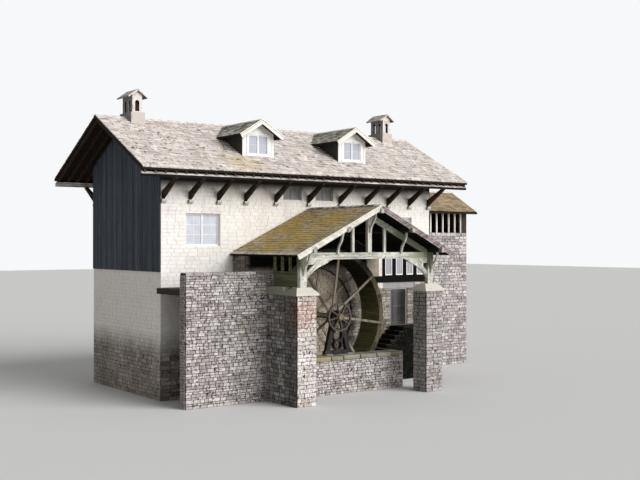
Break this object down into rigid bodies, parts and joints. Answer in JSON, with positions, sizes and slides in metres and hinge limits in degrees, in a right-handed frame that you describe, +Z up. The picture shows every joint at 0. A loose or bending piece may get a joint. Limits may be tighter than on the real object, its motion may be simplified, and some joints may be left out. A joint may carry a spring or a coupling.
{
  "type": "watermill",
  "caption": "Stone watermill with slate roof, two dormers, timber wheel house on piers, head race and a spoked water wheel that turns.",
  "frame": {"origin": "on the underside of the front wall, in its middle plane, below the ridge of the wheel house, at the level of the wall feet", "axes": "+X to the right along the facade, +Y into the building, +Z up"},
  "size_m": [22.74, 14.3, 14.2205],
  "materials": {
    "masonry_white": "limewashed coursed masonry, worn and slightly stained",
    "boards_dark": "vertical boards with a dark weathered paint",
    "floor_wood": "plain floor boards",
    "stone_slates": "stone slates, beige and pink grey with yellow lichen",
    "moss_slates": "stone slates under moss",
    "rafter_wood": "old timber",
    "purlin_wood": "weathered pale timber",
    "dark_oak": "dark stained oak",
    "dressed_stone": "dressed pale stone, weathered",
    "painted_wood": "cream painted boards",
    "chimney_stone": "dressed stone with lichen",
    "window_wood": "grey painted timber",
    "window_glass": "old window glass",
    "grey_masonry": "coursed squared stone, pink grey and mottled",
    "weathered_oak": "silvery oak with green algae",
    "green_oak": "oak boards with green algae",
    "dark_iron": "black cast iron, rusty in places",
    "wheel_wood": "olive brown weathered timber",
    "wet_wood": "dark damp boards with algae",
    "wheel_iron": "rusty cast iron",
    "door_wood": "grey boarded door"
  },
  "bodies": {
    "mill": {"front_wall_left": "masonry_white", "front_wall_right": "masonry_white", "front_wall_over_door": "masonry_white", "back_wall": "masonry_white", "left_wall": "masonry_white", "right_wall": "masonry_white", "gable_boarding": "boards_dark", "floors": "floor_wood", "main_roof_front": "stone_slates", "main_roof_back": "stone_slates", "rafters": "rafter_wood", "eaves_purlins": "purlin_wood", "eaves_struts": "dark_oak", "strut_corbels": "dressed_stone", "dormer_walls": "painted_wood", "dormer_roofs": "stone_slates", "chimneys": "chimney_stone", "chimney_caps": "stone_slates", "window_frames": "window_wood", "window_glass": "window_glass", "strip_frame": "dark_oak", "door_frame": "dressed_stone", "door_pins": "dark_iron", "steps": "grey_masonry", "porch_piers": "grey_masonry", "porch_side_wall": "grey_masonry", "stone_caps": "dressed_stone", "porch_posts": "weathered_oak", "tie_beam": "weathered_oak", "principal_rafters": "weathered_oak", "king_post": "weathered_oak", "truss_studs": "weathered_oak", "arch_braces": "weathered_oak", "porch_purlins": "weathered_oak", "verge_brackets": "weathered_oak", "porch_roof_left": "moss_slates", "porch_roof_right": "moss_slates", "bargeboards": "weathered_oak", "side_frame": "green_oak", "race_wall": "grey_masonry", "race_bed": "grey_masonry", "pit_walls": "grey_masonry", "pit_kerb": "dressed_stone", "bearing_stand": "dark_iron", "wall_bearing": "dark_iron", "wing_walls": "grey_masonry", "wing_floor": "floor_wood", "wing_roof": "moss_slates", "wing_posts": "rafter_wood"},
    "wheel": {"wheel_rims": "wheel_wood", "sole_boards": "wet_wood", "buckets": "wet_wood", "wheel_arms": "wheel_wood", "wheel_axle": "dark_iron", "back_ring": "dark_iron", "small_wheel": "wheel_iron"},
    "door": {"door_leaf": "door_wood", "door_straps": "dark_iron"}
  },
  "joints": [
    {"name": "wheel_spin", "type": "hinge", "parent": "mill", "child": "wheel", "pos_m": [0, -1.4, 3.51], "axis": [0, 1, 0], "continuous": true},
    {"name": "door_swing", "type": "hinge", "parent": "mill", "child": "door", "pos_m": [5.312, -0.122, 2.7], "axis": [0, 0, 1], "range_deg": [0, 90]}
  ]
}
